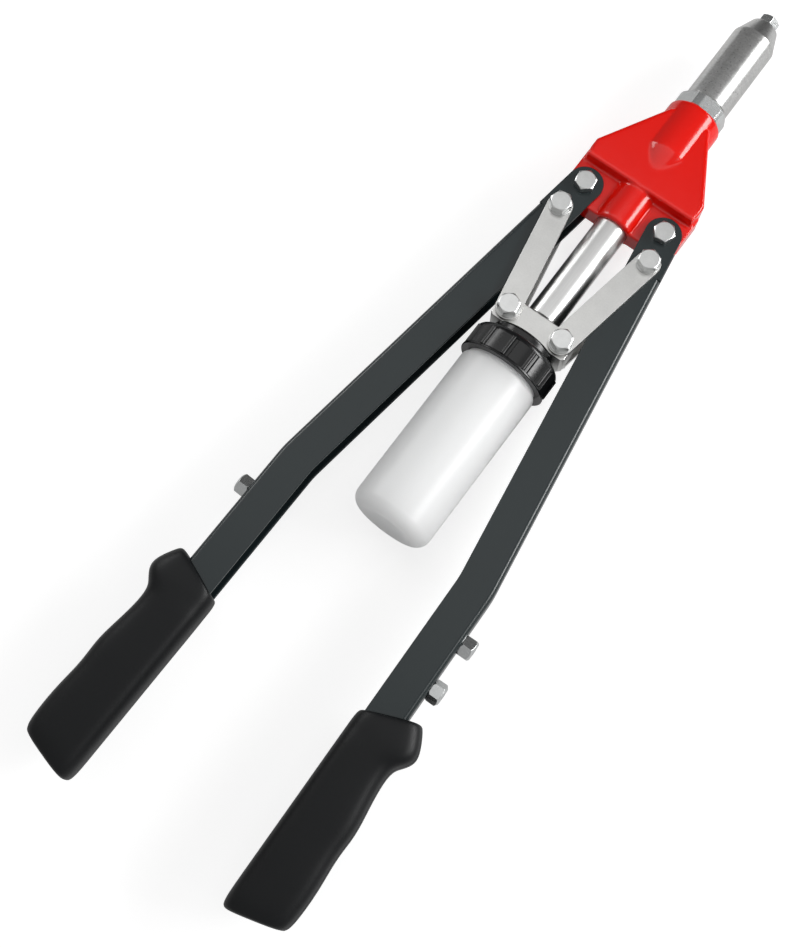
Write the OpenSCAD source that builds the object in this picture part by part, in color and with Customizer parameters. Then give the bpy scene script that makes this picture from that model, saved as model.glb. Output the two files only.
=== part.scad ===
// Long-arm lever hand riveter, lying flat. Origin: centre of the nosepiece's front face.
// +Y leaves the nose along the tool's axis, +X is to the right, +Z is up. Millimetres.

/* [Arms] */
// Half the distance between the two arm pivots
pivot_half = 23.4; // [22:0.1:26]
// Angle of the upper arm to the tool's axis
arm_splay = 8.3; // [7:0.1:11]
// Angle of the lower arm and the grip to the tool's axis
grip_splay = 1.3; // [0:0.1:4]
// Length of the upper arm, from the arm pivot to the bend
upper_len = 200; // [180:1:230]
// Length of the lower arm, from the bend to its end inside the grip
lower_len = 168; // [164:1:172]
// Width of the arm's channel
arm_w = 18.6; // [17:0.1:20]
// Height of the arm's channel over both flanges
arm_h = 16; // [15.6:0.1:18]
// Thickness of the arm's sheet steel
sheet_t = 2; // [1.6:0.1:2.5]
// Distance from the arm pivot to the start of the arm's outer wall
web_start = 23; // [20:0.5:30]

/* [Linkage] */
// Distance from the arm pivot to the link pivot on the arm
crank_len = 18.6; // [18:0.1:20]
// Distance between the two pivots of a link
link_len = 60; // [57:0.5:66]
// Width of a link
link_w = 13; // [12:0.1:14]
// Thickness of a link
link_t = 2.5; // [2:0.1:3]
// Half the distance between the two link pivots on the yoke
yoke_half = 15.5; // [15:0.1:17]
// Width of the yoke block
yoke_w = 43; // [42:0.5:44.5]
// Length of the yoke block along the tool's axis
yoke_len = 14; // [13:0.5:15]

/* [Fasteners] */
// Diameter of the pivot bolts
bolt_d = 6; // [5:0.5:6.5]
// Width across the flats of the bolt heads and nuts
bolt_af = 10; // [9.5:0.5:11]
// Height of a bolt head
head_h = 4; // [3.5:0.1:4.5]
// Height of a nut
nut_h = 5; // [4:0.1:5.5]
// Outer diameter of a washer
washer_d = 12; // [11.5:0.1:12.6]
// Thickness of a washer
washer_t = 1.2; // [1:0.1:1.6]

/* [Nose] */
// Distance from the arm pivots to the nosepiece's front face
nose_to_pivot = 138; // [134:1:146]
// Width across the flats of a nosepiece
nose_af = 10; // [9.5:0.1:10.6]
// Height of a nosepiece's hexagon
nose_hex_h = 6.5; // [5.5:0.1:7.5]
// Diameter of a nosepiece's thread
nose_thread_d = 9; // [8:0.1:9.4]
// Length of a nosepiece's thread
nose_thread_l = 10.5; // [9:0.5:12]
// Diameter of the hole that takes the rivet's mandrel
mandrel_d = 3; // [2.2:0.1:4.2]
// Outer diameter of the barrel
barrel_d = 24; // [23:0.1:25]
// Diameter of the flat at the front of the barrel's cone
cone_d = 15; // [14:0.1:17]
// Length of the barrel's cone
cone_l = 10.5; // [9:0.5:12]
// Wall of the barrel
barrel_wall = 3.15; // [2.8:0.05:3.3]
// Diameter of the bar from which the lock nut is turned
lock_d = 28; // [27.5:0.1:28.6]
// Width across the flats of the lock nut
lock_af = 26; // [25.6:0.1:26.4]
// Height of the lock nut
lock_h = 8; // [7:0.5:9]

/* [Head] */
// Distance from the arm pivots to the top of the barrel boss
boss_y = 66; // [63:0.5:68]
// Diameter of the barrel boss
boss_d = 30; // [29:0.5:31]
// Depth of the barrel's seat in the boss
seat_depth = 20; // [16:0.5:24]
// Half the width of the raised plate
plate_half = 32; // [30:0.5:34]
// Thickness of the head over both raised plates
plate_t = 24; // [22:0.5:25]
// Distance from the arm pivots to the lower edge of the raised plate
plate_low = 12.5; // [12:0.5:14]
// Diameter of the boss that guides the pull tube
guide_d = 23; // [22:0.5:24]
// Distance from the arm pivots to the bottom of the head
head_low = 9.5; // [8:0.5:10.5]

/* [Puller] */
// Outer diameter of the pull tube
tube_d = 17.5; // [17:0.1:17.6]
// Diameter of the spigots at the two ends of the pull tube
spigot_d = 12.4; // [11.6:0.1:12.8]
// Bore of the pull tube
tube_bore = 8.4; // [7.6:0.1:8.8]
// Length of the jaw carrier
carrier_l = 36; // [34:0.5:38]
// Distance from the nosepiece's front face to the front of the jaw carrier
carrier_back = 28.5; // [28.2:0.1:31]
// Length of the jaws
jaw_l = 14; // [12:0.5:15]
// Diameter of the collar under the yoke
collar_d = 35; // [33:0.5:38]
// Height of the collar
collar_h = 5; // [4:0.5:6]

/* [Catch bottle] */
// Diameter of the screw cap between its ribs
cap_d = 47.4; // [46.6:0.1:48.5]
// Height of the screw cap
cap_h = 15; // [13:0.5:17]
// Number of ribs round the cap
cap_ribs = 12; // [8:1:18]
// How far a rib stands out of the cap
rib_h = 0.8; // [0.5:0.1:1]
// Diameter of the bottle
bottle_d = 42.4; // [41:0.1:43]
// Length of the bottle below the cap
bottle_l = 94; // [80:1:104]
// Wall of the bottle
bottle_wall = 1.6; // [1.2:0.1:2]
// Diameter of the bottle's neck
neck_d = 38.6; // [37.6:0.1:38.8]

/* [Grips] */
// Distance from the bend of the arm to the top of the grip
grip_start = 66; // [63:1:68]
// Thickness of the grip
grip_t = 25.4; // [24:0.1:27]
// Distance from the arm's centre line to the straight inner side of the grip
grip_in = 12.5; // [12:0.1:13.5]

/* [Hidden] */
$fn = 64;

run_fit = 0.05;   // radial clearance of a shaft that turns or slides in its hole
seat_gap = 0.1;   // gap between flat faces that slide past each other
play = 0.3;       // gap between loose neighbours

// Places along the axis, measured from the arm pivots
nose_seat = nose_to_pivot - nose_hex_h;
cone_base = nose_seat - cone_l;
barrel_low = boss_y - seat_depth;
bolt_r = bolt_d / 2;
link_x = pivot_half + crank_len * sin(arm_splay);
link_y = -crank_len * cos(arm_splay);
yoke_y = link_y - sqrt(pow(link_len, 2) - pow(link_x - yoke_half, 2));
yoke_top = yoke_y + yoke_len / 2;
yoke_low = yoke_y - yoke_len / 2;
collar_low = yoke_low - seat_gap - collar_h;
cap_top = collar_low - seat_gap;
cap_low = cap_top - cap_h;
cap_roof = 3;
carrier_front = nose_to_pivot - carrier_back;
carrier_low = carrier_front - carrier_l;
spigot_up = 8;
tube_top = carrier_low + spigot_up;
tube_low = cap_top - cap_roof - 1.5;

// Heights of the stack on the link bolts
flange_z = arm_h / 2;
link_z = flange_z + seat_gap;
washer_z = link_z + link_t + seat_gap;
head_z = washer_z + washer_t;
arm_head_z = flange_z + seat_gap;

// Clearance of the hole at a link's upper end, which carries the rounding of the linkage
open_hole_r = bolt_r + 1.5;

// Places everything that is measured from the arm pivots
module from_pivots() {
  translate([0, -nose_to_pivot, 0]) children();
}

// Puts a shape on the right, or its mirror image on the left
module on_side(left) {
  mirror([left ? 1 : 0, 0, 0]) children();
}

// Revolves an outline of [radius, place along the axis] points round the tool's axis
module lathe(outline) {
  rotate([-90, 0, 0]) rotate_extrude($fn = 96) polygon(outline);
}

module rod(r, y0, y1) {
  translate([0, y0, 0]) rotate([-90, 0, 0]) cylinder(r = r, h = y1 - y0);
}

// Hexagonal prism along +Z with its corners turned off at the top
module hexagon(af, h, bevel = 0.8) {
  corner = af / sqrt(3);
  intersection() {
    cylinder(r = corner, h = h, $fn = 6);
    rotate_extrude() polygon([[0, 0], [corner + 0.1, 0], [corner + 0.1, h - bevel * 0.6],
      [corner - bevel, h], [0, h]]);
  }
}

// Bolt on the Z axis with its head's seat at z, reaching down to the end of its nut
module bolt(z, turn) {
  rotate([0, 0, turn]) translate([0, 0, z]) hexagon(bolt_af, head_h);
  translate([0, 0, -z - nut_h - 1.5]) cylinder(r = bolt_r, h = 2 * z + nut_h + 1.5 + 0.5);
}

module nut(z, turn) {
  rotate([180, 0, turn]) translate([0, 0, z]) difference() {
    hexagon(bolt_af, nut_h);
    translate([0, 0, -1]) cylinder(r = bolt_r + run_fit, h = nut_h + 2);
  }
}

module washer(z) {
  translate([0, 0, z]) difference() {
    cylinder(d = washer_d, h = washer_t);
    translate([0, 0, -1]) cylinder(r = bolt_r + run_fit, h = washer_t + 2);
  }
}

// Front and back washers on one bolt
module washer_pair() {
  washer(washer_z);
  mirror([0, 0, 1]) washer(washer_z);
}

// Head

module shield(inset) {
  low = plate_low + inset * 0.4;
  half = plate_half - inset;
  shoulder_y = plate_low + 10;
  top_half = boss_d / 2 - 3.5 - inset;
  polygon([[-half + 0.5, low], [half - 0.5, low], [half, low + 5], [half, shoulder_y],
    [top_half, boss_y - 7.5], [-top_half, boss_y - 7.5], [-half, shoulder_y], [-half, low + 5]]);
}

module ears() {
  side = plate_half + 1;
  linear_extrude(2 * (flange_z - sheet_t - seat_gap), center = true)
    polygon([[-side, plate_low + 6], [-side, 1], [-side + 3, -5], [-side + 8, -head_low],
      [side - 8, -head_low], [side - 3, -5], [side, 1], [side, plate_low + 6]]);
}

// Die-cast head with a raised plate on both faces
module head_casting() {
  guide_r = guide_d / 2;
  boss_r = boss_d / 2;
  color([0.86, 0.1, 0.08]) from_pivots() difference() {
    union() {
      hull() {
        linear_extrude(plate_t - 2, center = true) shield(0);
        linear_extrude(plate_t, center = true) shield(1);
      }
      ears();
      lathe([[0, plate_low + 10], [plate_t / 2 - 1, plate_low + 10], [boss_r, plate_low + 24], [boss_r, boss_y - 0.8],
        [boss_r - 0.8, boss_y], [0, boss_y]]);
      lathe([[0, -head_low], [guide_r - 1, -head_low], [guide_r, -head_low + 1], [guide_r, plate_low + 1],
        [0, plate_low + 1]]);
    }
    rod(tube_d / 2 + run_fit, -head_low - 1, barrel_low + 1);
    rod(barrel_d / 2 + run_fit, barrel_low, boss_y + 1);
    for (side = [-1, 1]) translate([side * pivot_half, 0, 0])
      cylinder(r = bolt_r + run_fit, h = plate_t, center = true);
  }
}

module lock_nut() {
  color([0.72, 0.73, 0.73]) from_pivots() intersection() {
    lathe([[barrel_d / 2 + run_fit, boss_y + seat_gap], [lock_d / 2, boss_y + seat_gap],
      [lock_d / 2, boss_y + lock_h - 0.7], [lock_d / 2 - 1, boss_y + lock_h], [barrel_d / 2 + run_fit, boss_y + lock_h]]);
    translate([0, boss_y - 1, 0]) rotate([-90, 0, 0]) rotate([0, 0, 18])
      cylinder(d = lock_af / cos(30), h = lock_h + 2, $fn = 6);
  }
}

// Turned barrel, screwed into the head's boss, with a cone at its front
module barrel() {
  r = barrel_d / 2;
  groove_y = boss_y + lock_h + 0.2;
  color([0.66, 0.66, 0.65]) from_pivots() difference() {
    lathe([[0, barrel_low], [r - 0.8, barrel_low], [r, barrel_low + 0.8], [r, groove_y], [r - 0.6, groove_y + 0.3],
      [r - 0.6, groove_y + 0.9], [r, groove_y + 1.2], [r, cone_base], [cone_d / 2 + 0.4, nose_seat - 0.4],
      [cone_d / 2, nose_seat], [0, nose_seat]]);
    rod(r - barrel_wall, barrel_low - 1, cone_base - 1);
    rod(nose_thread_d / 2 + run_fit, cone_base - 2, nose_seat + 1);
  }
}

// Nosepiece with its thread end at the origin, pointing along +Z
module nose_shape() {
  difference() {
    union() {
      cylinder(d = nose_thread_d, h = nose_thread_l + 0.5);
      translate([0, 0, nose_thread_l]) intersection() {
        cylinder(d = nose_af / cos(30), h = nose_hex_h, $fn = 6);
        rotate_extrude() polygon([[0, 0], [nose_af * 0.54, 0], [nose_af * 0.58, 0.5], [nose_af * 0.58, nose_hex_h - 1.2],
          [nose_af * 0.42, nose_hex_h], [0, nose_hex_h]]);
      }
    }
    translate([0, 0, -1]) cylinder(d = mandrel_d, h = nose_thread_l + nose_hex_h + 2);
  }
}

module nosepiece() {
  color([0.75, 0.77, 0.77]) translate([0, -nose_thread_l - nose_hex_h, 0]) rotate([-90, 0, 0])
    rotate([0, 0, 14]) nose_shape();
}

module arm_bolts() {
  color([0.8, 0.8, 0.78]) from_pivots() {
    translate([pivot_half, 0, 0]) bolt(arm_head_z, 0);
    translate([-pivot_half, 0, 0]) bolt(arm_head_z, 8);
  }
}

module arm_nuts() {
  color([0.8, 0.8, 0.78]) from_pivots() {
    translate([pivot_half, 0, 0]) nut(arm_head_z, 10);
    translate([-pivot_half, 0, 0]) nut(arm_head_z, 20);
  }
}

// Arms

// Local frames of the right arm: the upper arm's origin is its pivot, the lower arm's is the bend;
// both run along -Y with their outer side on +X
module upper_frame() {
  from_pivots() translate([pivot_half, 0, 0]) rotate([0, 0, arm_splay]) children();
}

module lower_frame() {
  upper_frame() translate([0, -upper_len, 0]) rotate([0, 0, grip_splay - arm_splay]) children();
}

// Radius of the arm's centre line through the bend and half of the angle that it turns
bend_r = 60;
bend_half = (arm_splay - grip_splay) / 2;
bend_tangent = bend_r * tan(bend_half);

// Outline of the arm seen from above, between two distances outside its centre line
module arm_band(inner, outer) {
  straight = upper_len - bend_tangent;
  translate([inner, -straight]) square([outer - inner, straight - (inner > 0 ? web_start : 0)]);
  // the bend turns about a centre on the arm's inner side
  translate([-bend_r, -straight]) intersection() {
    difference() {
      circle(r = bend_r + outer, $fn = 180);
      circle(r = bend_r + inner, $fn = 180);
    }
    polygon([[0, 0], [2 * bend_r, 0], [2 * bend_r, -2 * bend_r * tan(2 * bend_half)]]);
  }
  translate([0, -upper_len]) rotate(-2 * bend_half)
    translate([inner, -lower_len]) square([outer - inner, lower_len - bend_tangent]);
}

// Folded channel: two flanges with round lugs and an outer wall
module arm_shape(spares) {
  half = arm_w / 2;
  color([0.2, 0.23, 0.24]) difference() {
    upper_frame() difference() {
      linear_extrude(arm_h, center = true) union() {
        arm_band(-half, half);
        circle(r = half);
      }
      linear_extrude(arm_h - 2 * sheet_t, center = true) union() {
        arm_band(-half - 1, half - sheet_t);
        translate([-half - 1, -web_start]) square([2 * half + 2, web_start + half + 1]);
      }
    }
    upper_frame() {
      cylinder(r = bolt_r + run_fit, h = arm_h + 2, center = true);
      translate([0, -crank_len, 0]) cylinder(r = bolt_r + run_fit, h = arm_h + 2, center = true);
    }
    lower_frame() for (v = spares) translate([0, -v, 0]) rotate([0, 90, 0])
      cylinder(d = nose_thread_d + 2 * run_fit, h = half + 1);
  }
}

spare_first = 25;
spare_pitch = 25;
left_spares = [spare_first];
right_spares = [spare_first, spare_first + spare_pitch];

module left_arm() { on_side(true) arm_shape(left_spares); }
module right_arm() { on_side(false) arm_shape(right_spares); }

module spare_row(spares) {
  color([0.75, 0.77, 0.77]) lower_frame() for (v = spares)
    translate([arm_w / 2 + seat_gap - nose_thread_l, -v, 0]) rotate([0, 90, 0]) rotate([0, 0, 12 + v]) nose_shape();
}

module left_spare_nosepiece() { on_side(true) spare_row(left_spares); }
module right_spare_nosepieces() { on_side(false) spare_row(right_spares); }

// Sections of the grip, each from its inner side to its outer side:
// [inset of the inner side, inner v, outer u, outer v, share of the thickness], where v runs down the arm
// from the top of the grip and u goes outwards from the arm's centre line
grip_sections = [
  [2.0, 10.0, 14.0, 0.0, 0.78], [0.4, 11.2, 17.0, 1.4, 0.92], [0, 14.5, 22.4, 11.0, 0.96],
  [0, 18.5, 23.0, 16.2, 0.97], [0, 22.0, 20.0, 20.4, 0.97], [0, 25.0, 16.9, 23.2, 0.97],
  [0, 32.0, 16.1, 30.0, 0.97], [0, 42.0, 17.0, 41.0, 0.975], [0, 55.0, 18.9, 54.5, 0.99],
  [0, 63.0, 19.0, 61.5, 0.99], [0, 70.0, 18.5, 69.0, 0.99], [0, 79.0, 19.0, 77.0, 1],
  [0, 95.0, 19.8, 91.0, 1], [0, 110.0, 19.3, 104.0, 1], [0.8, 114.2, 18.0, 107.6, 0.93],
  [3.0, 115.6, 14.5, 109.4, 0.78]];
grip_sides = 28;

function round_square(t) = let(e = 0.62) [sign(cos(t)) * pow(abs(cos(t)), e), sign(sin(t)) * pow(abs(sin(t)), e)];

module grip_body() {
  half_t = grip_t / 2;
  rings = [for (s = grip_sections) [for (i = [0 : grip_sides - 1])
    let(p = round_square(360 * (i + 0.5) / grip_sides), u0 = s[0] - grip_in, m = (1 - p[0]) / 2)
    [s[2] + (u0 - s[2]) * m, -grip_start - (s[3] + (s[1] - s[3]) * m), p[1] * half_t * s[4]]]];
  n = grip_sides;
  last = (len(rings) - 1) * n;
  polyhedron(points = [for (ring = rings) for (p = ring) p], faces = concat(
    [[for (i = [0 : n - 1]) i]],
    [for (k = [0 : len(rings) - 2]) for (i = [0 : n - 1]) let(j = (i + 1) % n)
      each [[k * n + i, (k + 1) * n + i, (k + 1) * n + j], [k * n + i, (k + 1) * n + j, k * n + j]]],
    [[for (i = [n - 1 : -1 : 0]) last + i]]));
}

// Moulded grip with the socket that the arm is pressed into
module grip_shape() {
  socket_w = arm_w + 2 * seat_gap;
  socket_h = arm_h + 2 * seat_gap;
  color([0.11, 0.12, 0.13]) lower_frame() difference() {
    grip_body();
    translate([-socket_w / 2, -lower_len - play, -socket_h / 2])
      cube([socket_w, lower_len + play - grip_start + 5, socket_h]);
  }
}

module left_grip() { on_side(true) grip_shape(); }
module right_grip() { on_side(false) grip_shape(); }

// Links and their fasteners

module at_crank(left) {
  from_pivots() translate([(left ? -1 : 1) * link_x, link_y, 0]) children();
}

module left_link_bolt() { color([0.8, 0.8, 0.78]) at_crank(true) bolt(head_z, 14); }
module right_link_bolt() { color([0.8, 0.8, 0.78]) at_crank(false) bolt(head_z, 30); }
module left_link_nut() { color([0.8, 0.8, 0.78]) at_crank(true) nut(head_z, 5); }
module right_link_nut() { color([0.8, 0.8, 0.78]) at_crank(false) nut(head_z, 25); }
module left_link_washers() { color([0.7, 0.7, 0.68]) at_crank(true) washer_pair(); }
module right_link_washers() { color([0.7, 0.7, 0.68]) at_crank(false) washer_pair(); }

// Flat link on the right, from the yoke's pivot to the arm's
module link_shape(z) {
  lean = asin((link_x - yoke_half) / link_len);
  color([0.82, 0.82, 0.8]) from_pivots() translate([yoke_half, yoke_y, z]) rotate([0, 0, -lean]) difference() {
    union() {
      cylinder(d = link_w, h = link_t);
      translate([0, link_len, 0]) cylinder(d = link_w, h = link_t);
      translate([-link_w / 2, 0, 0]) cube([link_w, link_len, link_t]);
    }
    translate([0, 0, -1]) cylinder(r = bolt_r + run_fit, h = link_t + 2);
    translate([0, link_len, -1]) cylinder(r = open_hole_r, h = link_t + 2);
  }
}

module left_front_link() { on_side(true) link_shape(link_z); }
module right_front_link() { on_side(false) link_shape(link_z); }
module left_back_link() { on_side(true) link_shape(-link_z - link_t); }
module right_back_link() { on_side(false) link_shape(-link_z - link_t); }

// Puller

module pull_tube() {
  r = tube_d / 2;
  s = spigot_d / 2;
  color([0.74, 0.74, 0.73]) from_pivots() difference() {
    lathe([[0, tube_low], [s - 0.5, tube_low], [s, tube_low + 0.5], [s, yoke_top], [r - 0.5, yoke_top], [r, yoke_top + 0.5],
      [r, carrier_low - 0.5], [r - 0.5, carrier_low], [s, carrier_low], [s, tube_top], [0, tube_top]]);
    rod(tube_bore / 2, tube_low - 1, tube_top + 1);
  }
}

module yoke() {
  chamfer = 2.5;
  w = yoke_w / 2;
  color([0.8, 0.8, 0.77]) from_pivots() difference() {
    linear_extrude(arm_h, center = true) polygon([[-w + chamfer, yoke_top], [w - chamfer, yoke_top],
      [w, yoke_top - chamfer], [w, yoke_low + chamfer / 2], [w - chamfer / 2, yoke_low],
      [-w + chamfer / 2, yoke_low], [-w, yoke_low + chamfer / 2], [-w, yoke_top - chamfer]]);
    rod(spigot_d / 2 + run_fit, yoke_low - 1, yoke_top + 1);
    for (side = [-1, 1]) translate([side * yoke_half, yoke_y, 0])
      cylinder(r = bolt_r + run_fit, h = arm_h + 2, center = true);
  }
}

module collar() {
  r = collar_d / 2;
  hole = spigot_d / 2 + run_fit;
  top = yoke_low - seat_gap;
  color([0.09, 0.09, 0.1]) from_pivots() lathe([[hole, collar_low], [r, collar_low], [r, top - 1.5],
    [r - 1.5, top], [hole, top]]);
}

module at_yoke_pivots() {
  from_pivots() for (side = [-1, 1]) translate([side * yoke_half, yoke_y, 0]) children();
}

module yoke_bolts() { color([0.8, 0.8, 0.78]) at_yoke_pivots() bolt(head_z, 22); }
module yoke_nuts() { color([0.8, 0.8, 0.78]) at_yoke_pivots() nut(head_z, 0); }
module yoke_washers() { color([0.7, 0.7, 0.68]) at_yoke_pivots() washer_pair(); }

// Jaws seat in the carrier's cone and are driven forward by the pusher and its spring
carrier_r = tube_d / 2 - 0.15;
cone_mouth = 4.2;
cone_root = 6.6;
cone_len = jaw_l - 1;
chamber_y = carrier_front - 1 - cone_len;

module jaw_carrier() {
  color([0.45, 0.45, 0.46]) from_pivots() difference() {
    lathe([[0, carrier_low + seat_gap], [carrier_r - 0.5, carrier_low + seat_gap], [carrier_r, carrier_low + 0.6],
      [carrier_r, carrier_front - 1], [carrier_r - 1, carrier_front], [0, carrier_front]]);
    rod(spigot_d / 2 + run_fit, carrier_low - 1, tube_top + seat_gap);
    lathe([[0, tube_top], [cone_root, tube_top], [cone_root, chamber_y], [cone_mouth, carrier_front - 1],
      [cone_mouth, carrier_front + 1], [0, carrier_front + 1]]);
  }
}

module jaws() {
  gap = 0.15;
  grip_r = mandrel_d / 2 - 0.3;
  color([0.5, 0.5, 0.5]) from_pivots() for (turn = [0, 120, 240]) difference() {
    lathe([[grip_r, chamber_y], [cone_root - gap, chamber_y], [cone_mouth - gap, carrier_front - 1 - gap],
      [cone_mouth - gap - 0.3, carrier_front + 0.6], [grip_r, carrier_front + 0.6]]);
    rotate([0, turn, 0]) for (side = [-1, 1]) rotate([0, side * 59, 0])
      translate([side > 0 ? 0 : -20, chamber_y - 1, -20]) cube([20, jaw_l + 4, 40]);
    rotate([0, turn, 0]) translate([-20, chamber_y - 1, -20]) cube([40, jaw_l + 4, 20]);
  }
}

pusher_l = 7;
pusher_low = chamber_y - seat_gap - pusher_l;

module jaw_pusher() {
  bore = mandrel_d / 2 + 0.4;
  color([0.55, 0.55, 0.54]) from_pivots() lathe([[bore, pusher_low - 6], [3.2, pusher_low - 6], [3.2, pusher_low],
    [cone_root - 0.1, pusher_low], [cone_root - 0.1, chamber_y - seat_gap - 1.2],
    [cone_root - 1.4, chamber_y - seat_gap], [bore, chamber_y - seat_gap]]);
}

// Helical compression spring between the pull tube's end and the pusher's shoulder
module jaw_spring() {
  wire_r = 0.6;
  coil_r = 4.6;
  turns = 4;
  steps = 20;
  sides = 6;
  low = tube_top + wire_r + seat_gap;
  high = pusher_low - wire_r - seat_gap;
  count = turns * steps;
  rings = [for (k = [0 : count]) let(a = 360 * k / steps, y = low + (high - low) * k / count)
    [for (i = [0 : sides - 1]) let(b = 360 * i / sides, r = coil_r + wire_r * cos(b))
      [r * sin(a), y + wire_r * sin(b), r * cos(a)]]];
  color([0.6, 0.6, 0.6]) from_pivots() polyhedron(points = [for (ring = rings) for (p = ring) p], faces = concat(
    [[for (i = [0 : sides - 1]) i]],
    [for (k = [0 : count - 1]) for (i = [0 : sides - 1]) let(j = (i + 1) % sides)
      each [[k * sides + i, (k + 1) * sides + i, (k + 1) * sides + j], [k * sides + i, (k + 1) * sides + j, k * sides + j]]],
    [[for (i = [sides - 1 : -1 : 0]) count * sides + i]]));
}

// Catch bottle

module bottle_cap() {
  r = cap_d / 2;
  inner = neck_d / 2 + play;
  color([0.09, 0.09, 0.1]) from_pivots() difference() {
    union() {
      lathe([[0, cap_low], [r - 0.5, cap_low], [r, cap_low + 0.5], [r, cap_top - 3], [r - 3.5, cap_top], [0, cap_top]]);
      for (i = [0 : cap_ribs - 1]) rotate([0, -5 + 360 * i / cap_ribs, 0])
        translate([-0.8, cap_low + 0.6, r - 1]) cube([1.6, cap_h - 4, 1 + rib_h]);
    }
    rod(inner, cap_low - 1, cap_top - cap_roof);
    rod(spigot_d / 2 + run_fit, cap_top - cap_roof - 1, cap_top + 1);
  }
}

module bottle() {
  r = bottle_d / 2;
  n = neck_d / 2;
  w = bottle_wall;
  rim = cap_top - cap_roof - play;
  shoulder = cap_low - play;
  low = cap_low - bottle_l;
  foot = 7;
  outer = [for (a = [0 : 10 : 90]) [r - foot + foot * sin(a), low + foot - foot * cos(a)]];
  inner = [for (a = [90 : -10 : 0]) [r - foot + (foot - w) * sin(a), low + foot - (foot - w) * cos(a)]];
  top_out = [for (a = [0 : 15 : 90]) [n + (r - n) * cos(a), shoulder - 4 + 4 * sin(a)]];
  color([0.9, 0.91, 0.92]) from_pivots() lathe(concat([[0, low]], outer, top_out, [[n, rim], [n - w, rim]],
    [[n - w, shoulder - 1], [r - w, shoulder - 5]], inner, [[0, low + w]]));
}

head_casting();
lock_nut();
barrel();
nosepiece();
arm_bolts();
arm_nuts();
left_arm();
left_grip();
left_spare_nosepiece();
left_link_bolt();
left_link_washers();
left_link_nut();
right_arm();
right_grip();
right_spare_nosepieces();
right_link_bolt();
right_link_washers();
right_link_nut();
left_front_link();
left_back_link();
right_front_link();
right_back_link();
pull_tube();
yoke();
collar();
yoke_bolts();
yoke_washers();
yoke_nuts();
jaw_carrier();
jaws();
jaw_pusher();
jaw_spring();
bottle_cap();
bottle();
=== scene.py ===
"""Looks of the long-arm lever hand riveter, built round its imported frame.

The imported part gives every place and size. This script models what shows, gives each surface
its finish, and sets up the studio and the camera. Lengths are written in millimetres in the
part's own frame: +Y leaves the nose, +X is to the right and +Z is up.
"""

import logging
import math
from dataclasses import dataclass, field
from enum import Enum
from typing import Callable, Sequence

import bpy
from mathutils import Matrix, Vector

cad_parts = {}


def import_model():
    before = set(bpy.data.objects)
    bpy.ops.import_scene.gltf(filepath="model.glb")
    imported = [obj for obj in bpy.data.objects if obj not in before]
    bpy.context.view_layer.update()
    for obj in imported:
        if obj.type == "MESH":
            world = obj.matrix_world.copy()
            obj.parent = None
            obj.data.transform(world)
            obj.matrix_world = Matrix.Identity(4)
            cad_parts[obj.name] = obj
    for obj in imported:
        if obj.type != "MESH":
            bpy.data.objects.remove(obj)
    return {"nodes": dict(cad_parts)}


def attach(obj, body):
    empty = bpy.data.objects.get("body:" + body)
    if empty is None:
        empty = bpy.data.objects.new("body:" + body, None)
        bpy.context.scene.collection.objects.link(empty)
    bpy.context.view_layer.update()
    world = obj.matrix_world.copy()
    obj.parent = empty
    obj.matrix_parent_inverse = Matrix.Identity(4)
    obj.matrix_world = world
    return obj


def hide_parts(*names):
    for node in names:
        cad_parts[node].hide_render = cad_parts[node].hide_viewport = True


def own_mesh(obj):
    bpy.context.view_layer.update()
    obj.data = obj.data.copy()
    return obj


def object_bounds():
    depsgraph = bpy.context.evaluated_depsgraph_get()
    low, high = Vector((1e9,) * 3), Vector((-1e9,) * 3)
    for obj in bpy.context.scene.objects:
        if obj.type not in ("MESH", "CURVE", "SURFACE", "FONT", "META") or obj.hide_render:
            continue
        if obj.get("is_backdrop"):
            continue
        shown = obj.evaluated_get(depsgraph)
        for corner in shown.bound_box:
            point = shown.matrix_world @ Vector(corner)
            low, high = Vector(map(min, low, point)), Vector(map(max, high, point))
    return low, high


log = logging.getLogger("riveter")

MM = 0.001
ARM_PIVOT = (23.4, -138.0)
LINK_PIVOT = (26.085, -156.405)
YOKE_PIVOT = (15.5, -215.464)
# Running fit between a hole and what goes through it, on the radius
FIT = 0.05
# Pieces shaded as one up to this angle are round all over and need no weighted normals
ROUND_ONLY = 60

Profile = Sequence[tuple[float, float]]


def mm(*values: float) -> Vector:
    """Turns millimetres into a vector in metres."""
    return Vector(values) * MM


def shift(*place: float) -> Matrix:
    """Matrix that moves by millimetres along X, Y and Z."""
    return Matrix.Translation(mm(*place))


def spun(degrees: float, axis: str) -> Matrix:
    """Matrix that turns about "X", "Y" or "Z"."""
    return Matrix.Rotation(math.radians(degrees), 4, axis)


def linear(hex_colour: str) -> tuple[float, float, float, float]:
    """Turns an sRGB hex colour into linear RGBA.

    Args:
        hex_colour: six hexadecimal digits, with or without a leading #.

    Returns:
        The colour as linear red, green, blue and an alpha of 1.
    """
    digits = hex_colour.lstrip("#")
    channels = [int(digits[i : i + 2], 16) / 255 for i in (0, 2, 4)]
    straight = [c / 12.92 if c <= 0.04045 else ((c + 0.055) / 1.055) ** 2.4 for c in channels]
    return (*straight, 1.0)


class Side(Enum):
    """The two arms of the tool."""

    LEFT = "left"
    RIGHT = "right"

    @property
    def mirror(self) -> Matrix:
        """Matrix that takes a piece made for the right to this side."""
        return Matrix.Scale(-1 if self is Side.LEFT else 1, 4, Vector((1, 0, 0)))

    @property
    def sign(self) -> int:
        """Sign of X on this side."""
        return -1 if self is Side.LEFT else 1


class Select(Enum):
    """Kinds of mesh element that a step works on."""

    VERT = "VERT"
    EDGE = "EDGE"
    FACE = "FACE"


# Modelling steps


def select_only(piece: bpy.types.Object) -> None:
    """Deselects everything, then selects one piece and makes it active."""
    bpy.ops.object.select_all(action="DESELECT")
    piece.select_set(True)
    bpy.context.view_layer.objects.active = piece


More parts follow.
